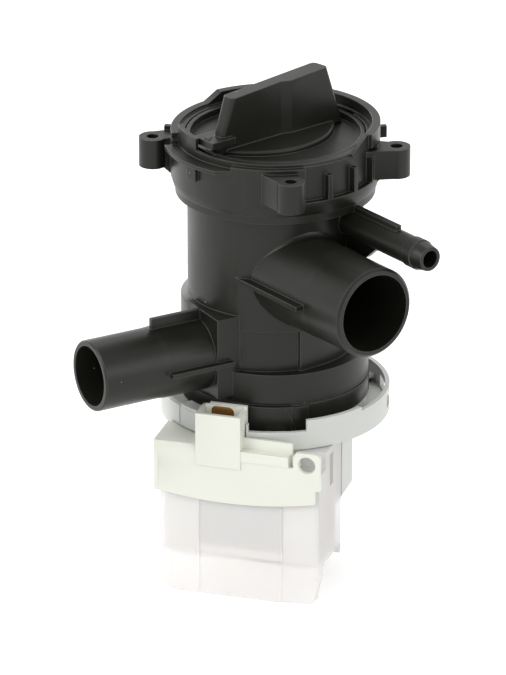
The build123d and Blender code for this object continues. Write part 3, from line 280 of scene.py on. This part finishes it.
def clearCase(name, look):
    material, tree, shader, grain = newMaterial(name, look)
    glow = useGroup(tree, "fade", (-600, 300), Low=look["tintTop"], High=look["tintBottom"])
    colour = mixColour(tree, (-100, 300), glow.outputs["Share"], look["clear"], look["tint"])
    finishSurface(tree, shader, look, grain.outputs["Mottle"], colour, grain.outputs["Height"])
    return material


def layeredMetal(name, look):
    material, tree, shader, grain = newMaterial(name, look)
    lines = useGroup(tree, "stack", (-600, 300), Pitch=look["pitch"], Dark_Share=look["darkShare"])
    colour = mixColour(tree, (-300, 100), grain.outputs["Mottle"], look["shade"], look["light"])
    colour = mixColour(tree, (-100, 300), lines.outputs["Mask"], colour, look["lineColour"])
    finishSurface(tree, shader, look, grain.outputs["Mottle"], colour, lines.outputs["Mask"])
    return material


def plainMetal(name, look):
    material, tree, shader, grain = newMaterial(name, look)
    colour = mixColour(tree, (-300, 100), grain.outputs["Mottle"], look["shade"], look["light"])
    finishSurface(tree, shader, look, grain.outputs["Mottle"], colour, grain.outputs["Height"])
    return material


plasticLooks = {
    "blackMoulding": {
        "shade": (0.0088, 0.0087, 0.0064), "light": (0.0118, 0.0117, 0.0088), "grainScale": 1600,
        "mottleScale": 45, "roughness": (0.32, 0.42), "grainStrength": 0.25, "grainDepth": 0.00005,
        # painted highlight colour along edges
        "paintedEdgeHighlight": (0.12, 0.118, 0.108), "edgeWidth": 0.0006, "edgeStrength": 3.4,
        "dustColour": (0.3, 0.3, 0.28), "dustScale": 110, "dustSize": 0.035, "dustAmount": 0.16,
        "sockets": {"IOR": 1.49, "Specular IOR Level": 0.33},
    },
    "whiteMoulding": {
        "shade": (0.59, 0.605, 0.575), "light": (0.64, 0.655, 0.625), "grainScale": 1400, "mottleScale": 50,
        "roughness": (0.38, 0.5), "grainStrength": 0.15, "grainDepth": 0.00005,
        # painted shade colour in creases
        "paintedCreaseShade": (0.42, 0.44, 0.42), "creaseReach": 0.004, "creaseStrength": 0.5,
        "sockets": {"IOR": 1.5, "Subsurface Weight": 0.15, "Subsurface Radius": (0.004, 0.004, 0.004)},
    },
    "creamMoulding": {
        "shade": (0.735, 0.745, 0.665), "light": (0.765, 0.775, 0.70), "grainScale": 1400, "mottleScale": 50,
        "roughness": (0.36, 0.46), "grainStrength": 0.15, "grainDepth": 0.00005,
        # painted shade colour in creases
        "paintedCreaseShade": (0.62, 0.63, 0.55), "creaseReach": 0.003, "creaseStrength": 0.25,
        "sockets": {"IOR": 1.5, "Subsurface Weight": 0.1, "Subsurface Radius": (0.003, 0.003, 0.002)},
    },
    "sealRubber": {
        "shade": (0.008, 0.008, 0.008), "light": (0.014, 0.014, 0.014), "grainScale": 1200, "mottleScale": 80,
        "roughness": (0.6, 0.75), "grainStrength": 0.4, "grainDepth": 0.0001, "sockets": {"IOR": 1.5},
    },
    "bobbinNylon": {
        "shade": (0.88, 0.87, 0.83), "light": (0.92, 0.91, 0.87), "grainScale": 1200, "mottleScale": 70,
        "roughness": (0.38, 0.5), "grainStrength": 0.15, "grainDepth": 0.00005, "sockets": {"IOR": 1.5},
    },
    # painted scattered light: the white sheet behind the case front
    "paintedScatterSheet": {
        "shade": (0.93, 0.915, 0.885), "light": (0.95, 0.94, 0.91), "grainScale": 1200, "mottleScale": 40,
        "roughness": (0.4, 0.5), "grainStrength": 0.1, "grainDepth": 0.00005, "sockets": {"IOR": 1.4},
    },
}
caseLook = {
    "clear": (0.985, 0.97, 0.935), "tint": (0.99, 0.945, 0.915), "tintTop": 0.045, "tintBottom": 0.012,
    "grainScale": 800, "mottleScale": 40, "roughness": (0.32, 0.42), "grainStrength": 0.1,
    "grainDepth": 0.00005,
    "sockets": {"Alpha": 0.52, "IOR": 1.4, "Specular IOR Level": 0.4, "Subsurface Weight": 0.6,
                "Subsurface Radius": (0.006, 0.005, 0.0045)},
}
layeredLooks = {
    "laminations": {
        "shade": (0.27, 0.27, 0.265), "light": (0.33, 0.33, 0.32), "lineColour": (0.18, 0.18, 0.18),
        "pitch": 0.0005, "darkShare": 0.3, "grainScale": 1500, "mottleScale": 90, "roughness": (0.35, 0.5),
        "grainStrength": 0.4, "grainDepth": 0.0001, "sockets": {"Metallic": 0.6},
    },
    "copperWinding": {
        "shade": (0.62, 0.24, 0.10), "light": (0.74, 0.32, 0.15), "lineColour": (0.30, 0.10, 0.04),
        "pitch": 0.0004, "darkShare": 0.35, "grainScale": 1200, "mottleScale": 120, "roughness": (0.25, 0.35),
        "grainStrength": 0.5, "grainDepth": 0.0001, "sockets": {"Metallic": 0.7, "Coat Weight": 0.4},
    },
}
metalLooks = {
    "terminalBrass": {
        "shade": (0.50, 0.28, 0.08), "light": (0.66, 0.42, 0.16), "grainScale": 900, "mottleScale": 150,
        "roughness": (0.22, 0.34), "grainStrength": 0.2, "grainDepth": 0.00005, "sockets": {"Metallic": 1.0},
    },
    "contactCopper": {
        "shade": (0.19, 0.085, 0.012), "light": (0.30, 0.14, 0.025), "grainScale": 900, "mottleScale": 260,
        "roughness": (0.30, 0.42), "grainStrength": 0.2, "grainDepth": 0.00005, "sockets": {"Metallic": 0.5},
    },
    "sinteredBronze": {
        "shade": (0.30, 0.19, 0.10), "light": (0.42, 0.28, 0.16), "grainScale": 3000, "mottleScale": 200,
        "roughness": (0.45, 0.6), "grainStrength": 0.5, "grainDepth": 0.0001, "sockets": {"Metallic": 0.9},
    },
    "groundSteel": {
        "shade": (0.48, 0.48, 0.48), "light": (0.58, 0.58, 0.58), "grainScale": 2500, "mottleScale": 80,
        "roughness": (0.18, 0.28), "grainStrength": 0.15, "grainDepth": 0.00005, "sockets": {"Metallic": 1.0},
    },
    "ferrite": {
        "shade": (0.035, 0.035, 0.038), "light": (0.055, 0.055, 0.058), "grainScale": 2200,
        "mottleScale": 120, "roughness": (0.45, 0.6), "grainStrength": 0.4, "grainDepth": 0.0001,
        "sockets": {"Metallic": 0.2},
    },
}
materials = {"milkyCase": clearCase("milkyCase", caseLook)}
for makeMaterial, looks in ((mouldedPlastic, plasticLooks), (layeredMetal, layeredLooks),
                            (plainMetal, metalLooks)):
    for name, look in looks.items():
        materials[name] = makeMaterial(name, look)
print("materials ready")

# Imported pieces: finish and edge rounding in mm
finishes = {
    "pump_housing": ("blackMoulding", 0), "filter_cap": ("blackMoulding", 0),
    "lint_filter": ("blackMoulding", 0.25), "impeller": ("blackMoulding", 0.2),
    "thermal_cutout": ("blackMoulding", 0.3), "motor_flange": ("whiteMoulding", 0.12),
    "bearing_plate": ("whiteMoulding", 0.2), "rotor_hub": ("whiteMoulding", 0.2),
    "thrust_washers": ("whiteMoulding", 0.1), "drive_dog": ("whiteMoulding", 0.15),
    "terminal_cover": ("creamMoulding", 0.2), "coil_case": ("milkyCase", 0.15),
    "coil_bobbin_left": ("bobbinNylon", 0.25), "coil_bobbin_right": ("bobbinNylon", 0.25),
    "coil_winding_left": ("copperWinding", 0), "coil_winding_right": ("copperWinding", 0),
    "stator_core": ("laminations", 0.15), "terminal_blades": ("terminalBrass", 0.15),
    "front_bearing": ("sinteredBronze", 0.15), "rear_bearing": ("sinteredBronze", 0.15),
    "rotor_shaft": ("groundSteel", 0), "rotor_magnet": ("ferrite", 0.3),
    "cap_seal": ("sealRubber", 0), "housing_seal": ("sealRubber", 0),
    "front_bearing_mount": ("sealRubber", 0.2), "rear_bearing_mount": ("sealRubber", 0.2),
}
edgeRounding = {"weldGap": 0.001, "flatAngle": 0.6, "steps": 2, "splitAngle": 28}
# Steady bevels throw no points off finely cut faces. A piece with 0 gets split edges instead.
usualBevel = {"angle_limit": math.radians(28), "miter_outer": "MITER_ARC"}
steadyBevel = {"angle_limit": math.radians(40), "loop_slide": False}
ownBevels = {
    "motor_flange": {**steadyBevel, "offset_type": "DEPTH"},
    "coil_case": {**steadyBevel, "offset_type": "DEPTH"},
    "terminal_cover": {**steadyBevel, "offset_type": "ABSOLUTE"},
}


def roundEdges(piece, width):
    weld = piece.modifiers.new("weld", "WELD")
    weld.merge_threshold = edgeRounding["weldGap"] * mm
    flat = piece.modifiers.new("flat", "DECIMATE")
    flat.decimate_type = "DISSOLVE"
    flat.angle_limit = math.radians(edgeRounding["flatAngle"])
    if width > 0:
        bevel = piece.modifiers.new("bevel", "BEVEL")
        bevel.width = width * mm
        bevel.segments = edgeRounding["steps"]
        bevel.limit_method = "ANGLE"
        bevel.use_clamp_overlap = False
        for setting, value in ownBevels.get(piece.name, usualBevel).items():
            setattr(bevel, setting, value)
    else:
        split = piece.modifiers.new("split", "EDGE_SPLIT")
        split.split_angle = math.radians(edgeRounding["splitAngle"])
    for face in piece.data.polygons:
        face.use_smooth = True
    normals = piece.modifiers.new("normals", "WEIGHTED_NORMAL")
    normals.keep_sharp = True


for name, (finish, width) in finishes.items():
    node = nodes[name]
    node.data.materials.clear()
    node.data.materials.append(materials[finish])
    roundEdges(node, width)
print("packed pieces dressed")

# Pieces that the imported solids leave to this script, in mm
motorTurn = math.radians(36)  # the motor's own directions, against the pump's


def motorPoint(across, ahead, height):
    return Vector((across * math.cos(motorTurn) + ahead * math.sin(motorTurn),
                   across * math.sin(motorTurn) - ahead * math.cos(motorTurn), height)) * mm


def aroundAxis(turn, reach, height):
    return Vector((reach * math.cos(turn), reach * math.sin(turn), height)) * mm


def newPiece(name, points, faces, finish, body="housing", smooth=True):
    mesh = bpy.data.meshes.new(name)
    mesh.from_pydata([tuple(point) for point in points], [], faces)
    tidy = bmesh.new()
    tidy.from_mesh(mesh)
    bmesh.ops.remove_doubles(tidy, verts=tidy.verts, dist=edgeRounding["weldGap"] * mm)
    bmesh.ops.recalc_face_normals(tidy, faces=tidy.faces)
    tidy.to_mesh(mesh)
    tidy.free()
    mesh.materials.append(materials[finish])
    for face in mesh.polygons:
        face.use_smooth = smooth
    piece = bpy.data.objects.new(name, mesh)
    bpy.context.scene.collection.objects.link(piece)
    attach(piece, body)
    return piece


# Soft corner where the inlet leaves the tube: a ring with one hollow side
inletRoot = {"tubeRadius": 36.7, "portRadius": 19.4, "offset": -10, "height": 137, "corner": 3.2,
             "sink": 0.25, "rootDepth": 1, "steps": 96, "arcSteps": 7}


def inletRootPoint(look, turn, grow):
    across = look["offset"] + (look["portRadius"] + grow) * math.cos(turn)
    height = look["height"] + (look["portRadius"] + grow) * math.sin(turn)
    return Vector((math.sqrt((look["tubeRadius"] + grow) ** 2 - across ** 2), across, height))


def addInletRoot(look):
    points, faces = [], []
    ring = look["arcSteps"] + 2
    for step in range(look["steps"]):
        turn = 2 * math.pi * step / look["steps"]
        centre = inletRootPoint(look, turn, look["corner"])
        shrink = (look["tubeRadius"] - look["sink"]) / (look["tubeRadius"] + look["corner"])
        onTube = Vector((centre.x * shrink, centre.y * shrink, centre.z)) - centre
        portSide = look["portRadius"] - look["sink"]
        onPort = Vector((centre.x, look["offset"] + portSide * math.cos(turn),
                         look["height"] + portSide * math.sin(turn))) - centre
        for part in range(look["arcSteps"] + 1):
            share = part / look["arcSteps"]
            reach = onTube.length * (1 - share) + onPort.length * share
            points.append((centre + onTube.normalized().slerp(onPort.normalized(), share) * reach) * mm)
        points.append(inletRootPoint(look, turn, -look["rootDepth"]) * mm)
    for step in range(look["steps"]):
        here, there = step * ring, (step + 1) % look["steps"] * ring
        for part in range(ring):
            after = (part + 1) % ring
            faces.append((here + part, there + part, there + after, here + after))
    newPiece("inlet_root_corner", points, faces, "blackMoulding")


# Back of the connector socket: a lining with an arch in it, and the brass contact in the arch
socketLook = {"left": -16.5, "right": -0.8, "back": 45.05, "plate": 0.9, "bottom": 66, "top": 84.1,
              "archLeft": -14.1, "archRight": -4.1, "archDrop": 0.6, "archRound": 2.4, "archSteps": 6,
              "contactInsets": (0.0, 0.5, 1.3, 2.0), "contactDepths": (0.05, 0.35, 0.5, 0.5)}


def archOutline(look, inset=0.0):
    left, right = look["archLeft"] + inset, look["archRight"] - inset
    bottom, top = look["bottom"] + inset, look["top"] - look["archDrop"] - inset
    bend = look["archRound"] - inset / 2
    outline = [(left, bottom)]
    for side, start in ((left + bend, math.pi), (right - bend, math.pi / 2)):
        for step in range(look["archSteps"] + 1):
            turn = start - math.pi / 2 * step / look["archSteps"]
            outline.append((side + bend * math.cos(turn), top - bend + bend * math.sin(turn)))
    outline.append((right, bottom))
    return outline


def addSocketContact(look):
    arch = archOutline(look)
    rim = [(look["left"], look["bottom"])]
    count = len(arch)
    for index in range(1, count - 1):
        share = (index - 1) / (count - 3)
        rim.append((look["left"] + (look["right"] - look["left"]) * share, look["top"]))
    rim.append((look["right"], look["bottom"]))
    points, faces = [], []
    for outline in (rim, arch):
        for ahead in (look["back"], look["back"] + look["plate"]):
            points += [motorPoint(across, ahead, height) for across, height in outline]
    for index in range(count - 1):
        outerBack, outerFront, innerBack, innerFront = (index + count * row for row in range(4))
        faces.append((outerFront, outerFront + 1, innerFront + 1, innerFront))
        faces.append((outerBack, innerBack, innerBack + 1, outerBack + 1))
        faces.append((outerBack, outerBack + 1, outerFront + 1, outerFront))
        faces.append((innerBack, innerFront, innerFront + 1, innerBack + 1))
    for index in (0, count - 1):
        faces.append((index, index + count, index + 3 * count, index + 2 * count))
    newPiece("socket_back_lining", points, faces, "creamMoulding", smooth=False)
    points, faces = [], []
    insets = look["contactInsets"]
    for inset, depth in zip(insets, look["contactDepths"]):
        points += [motorPoint(across, look["back"] + depth, height)
                   for across, height in archOutline(look, inset)]
    for row in range(len(insets) - 1):
        for index in range(count):
            after = (index + 1) % count
            faces.append((row * count + index, row * count + after, (row + 1) * count + after,
                          (row + 1) * count + index))
    last = (len(insets) - 1) * count
    faces.append(tuple(last + index for index in range(count)))
    faces.append(tuple(reversed(range(count))))
    newPiece("socket_contact", points, faces, "contactCopper")


# White sheet inside the case's front, with a window for the laminations: painted light that stands in for the
# light scattered in the milky case wall
paintedScatterSheet = {"back": 49.0, "front": 50.3, "outer": (-32.6, 18.2, 32.6, 57),
             "window": (-18.3, 21.8, 18.3, 46.8), "rounding": 0.3}


def addPaintedScatterSheet(look):
    points = []
    for ahead in (look["back"], look["front"]):  # points 0 to 7 lie at the back, 8 to 15 in front
        for left, low, right, high in (look["outer"], look["window"]):
            points += [motorPoint(across, ahead, height)
                       for across, height in ((left, low), (right, low), (right, high), (left, high))]
    faces = []
    for corner in range(4):
        after = (corner + 1) % 4
        faces.append((corner, after, 4 + after, 4 + corner))
        faces.append((8 + corner, 12 + corner, 12 + after, 8 + after))
        faces.append((corner, 8 + corner, 8 + after, after))
        faces.append((4 + corner, 4 + after, 12 + after, 12 + corner))
    piece = newPiece("painted_scatter_sheet", points, faces, "paintedScatterSheet")
    roundEdges(piece, look["rounding"])


# Slanting ridge down the collar's front tab: its path in degrees, height and radius
tabRidge = {"path": ((-31.8, 82.2, 40.95), (-30.2, 80.9, 40.95), (-27.6, 76.6, 40.95), (-26.9, 75.5, 40.25),
                     (-24.9, 71.5, 40.25)),
            "half": 0.28, "height": 0.25, "sink": 0.4}


def addTabRidge(look):
    half, sink = look["half"], look["sink"]
    points = []
    for turn, height, reach in look["path"]:
        for side, rise in ((-half, -sink), (0, look["height"]), (half, -sink)):
            points.append(aroundAxis(math.radians(turn) + side / reach, reach + rise, height))
    faces = [(2, 1, 0), tuple(len(points) - 3 + corner for corner in (0, 1, 2))]
    for step in range(len(look["path"]) - 1):
        for corner in range(3):
            after = (corner + 1) % 3
            faces.append((3 * step + corner, 3 * step + after, 3 * step + 3 + after, 3 * step + 3 + corner))
    newPiece("collar_tab_ridge", points, faces, "blackMoulding", smooth=False)


# Moulding line down the drum
mouldLine = {"turn": -54.5, "radius": 43.5, "bottom": 172.5, "top": 184.5, "height": 0.12, "width": 0.5,
             "sink": 0.3}


def addMouldLine(look):
    turn, radius, sink = math.radians(look["turn"]), look["radius"], look["sink"]
    half = look["width"] / radius / 2
    points = []
    for height in (look["bottom"], look["top"]):
        for side, rise in ((-half, -sink), (0, look["height"]), (half, -sink)):
            points.append(aroundAxis(turn + side, radius + rise, height))
    faces = [(0, 1, 4, 3), (1, 2, 5, 4), (2, 0, 3, 5), (0, 2, 1), (3, 4, 5)]
    newPiece("drum_mould_line", points, faces, "blackMoulding", smooth=False)


# Curved blocks about the pump axis, in mm and degrees: a skirt beside the collar's tab, a lug and a rib
curvedBlocks = {
    "collar_tab_skirt": {"start": -29, "end": -17, "inside": 38.6, "outside": 40.2, "bottom": 69.5,
                         "top": 82.4, "finish": "blackMoulding", "slot": "black_plastic"},
    "flange_lug": {"start": -92.4, "end": -80, "inside": 42.5, "outside": 48.2, "bottom": 77.6,
                   "top": 79.2, "finish": "whiteMoulding", "slot": "white_plastic"},
    "flange_rib": {"start": -93.6, "end": -92.6, "inside": 47.8, "outside": 48.8, "bottom": 70.2,
                   "top": 78.4, "finish": "whiteMoulding", "slot": "white_plastic"},
}
curvedBlockDetail = {"steps": 16, "rounding": 0.3}


def addCurvedBlock(name, look, detail):
    points = []
    steps = detail["steps"]
    for step in range(steps + 1):
        turn = math.radians(look["start"] + (look["end"] - look["start"]) * step / steps)
        for reach, height in ((look["inside"], look["bottom"]), (look["outside"], look["bottom"]),
                              (look["outside"], look["top"]), (look["inside"], look["top"])):
            points.append(aroundAxis(turn, reach, height))
    faces = [(0, 1, 2, 3), tuple(4 * steps + corner for corner in (3, 2, 1, 0))]
    for step in range(steps):
        for corner in range(4):
            after = (corner + 1) % 4
            faces.append((4 * step + corner, 4 * step + after, 4 * step + 4 + after, 4 * step + 4 + corner))
    piece = newPiece(name, points, faces, look["finish"])
    roundEdges(piece, detail["rounding"])


for name, look in curvedBlocks.items():
    addCurvedBlock(name, look, curvedBlockDetail)
addInletRoot(inletRoot)
addSocketContact(socketLook)
addPaintedScatterSheet(paintedScatterSheet)
addTabRidge(tabRidge)
addMouldLine(mouldLine)
print("detail pieces ready")

# Light and surroundings
studio = {
    "worldLevel": 0.83, "floorSize": 6.0, "floorColour": (0.8, 0.8, 0.8), "floorLift": 0.45,
    "lamps": (  # name, place, size and watts
        ("keyLamp", (-0.4, -1.8, 1.2), (1.2, 1.2), 20),
        ("leftLamp", (-2.0, 0.4, 0.7), (1.1, 1.1), 12),
        ("fillLamp", (2.0, 0.4, 0.9), (1.1, 1.1), 9),
        ("topLamp", (-1.0, 0.9, 1.9), (0.7, 1.2), 3),
    ),
    "aim": (0, 0, 0.11),
}


def whiteRays(tree, place):
    path = addNode(tree, "ShaderNodeLightPath", place)
    seen = path.outputs["Is Camera Ray"]
    for step, ray in enumerate(("Is Glossy Ray", "Is Transmission Ray")):
        either = addNode(tree, "ShaderNodeMath", (place[0] + 180 * (step + 1), place[1]), operation="MAXIMUM")
        tree.links.new(seen, either.inputs[0])
        tree.links.new(path.outputs[ray], either.inputs[1])
        seen = either.outputs[0]
    return seen


def addWorld(look):
    world = bpy.data.worlds.new("studioWorld")
    bpy.context.scene.world = world
    world.use_nodes = True
    tree = world.node_tree
    background = tree.nodes["Background"]
    white = addNode(tree, "ShaderNodeMix", (-300, 0),
                    {numberMix["first"]: look["worldLevel"], numberMix["second"]: 1.0})
    tree.links.new(whiteRays(tree, (-900, 0)), white.inputs["Factor"])
    tree.links.new(white.outputs["Result"], background.inputs["Strength"])
    background.inputs["Color"].default_value = (1, 1, 1, 1)


def addFloor(look):
    mesh = bpy.data.meshes.new("floor")
    half = look["floorSize"] / 2
    mesh.from_pydata([(-half, -half, 0), (half, -half, 0), (half, half, 0), (-half, half, 0)], [],
                     [(0, 1, 2, 3)])
    floor = bpy.data.objects.new("floor", mesh)
    bpy.context.scene.collection.objects.link(floor)
    material = bpy.data.materials.new("floorPaper")
    material.use_nodes = True
    tree = material.node_tree
    tree.nodes.clear()
    paper = addNode(tree, "ShaderNodeBsdfDiffuse", (0, 100), {"Color": (*look["floorColour"], 1)})
    lift = addNode(tree, "ShaderNodeEmission", (0, -100))
    level = addNode(tree, "ShaderNodeMath", (-150, -100), operation="MULTIPLY")
    level.inputs[1].default_value = look["floorLift"]
    both = addNode(tree, "ShaderNodeAddShader", (250, 0))
    end = addNode(tree, "ShaderNodeOutputMaterial", (450, 0))
    tree.links.new(whiteRays(tree, (-700, -100)), level.inputs[0])
    tree.links.new(level.outputs[0], lift.inputs["Strength"])
    tree.links.new(paper.outputs[0], both.inputs[0])
    tree.links.new(lift.outputs[0], both.inputs[1])
    tree.links.new(both.outputs[0], end.inputs["Surface"])
    mesh.materials.append(material)


def addLamps(look):
    for name, place, size, power in look["lamps"]:
        data = bpy.data.lights.new(name, "AREA")
        data.shape = "RECTANGLE"
        data.size, data.size_y = size
        data.energy = power
        lamp = bpy.data.objects.new(name, data)
        lamp.location = place
        lamp.rotation_euler = (Vector(look["aim"]) - Vector(place)).to_track_quat("-Z", "Y").to_euler()
        bpy.context.scene.collection.objects.link(lamp)


addWorld(studio)
addFloor(studio)
addLamps(studio)
bpy.context.scene.view_settings.view_transform = "Standard"
print("studio ready")
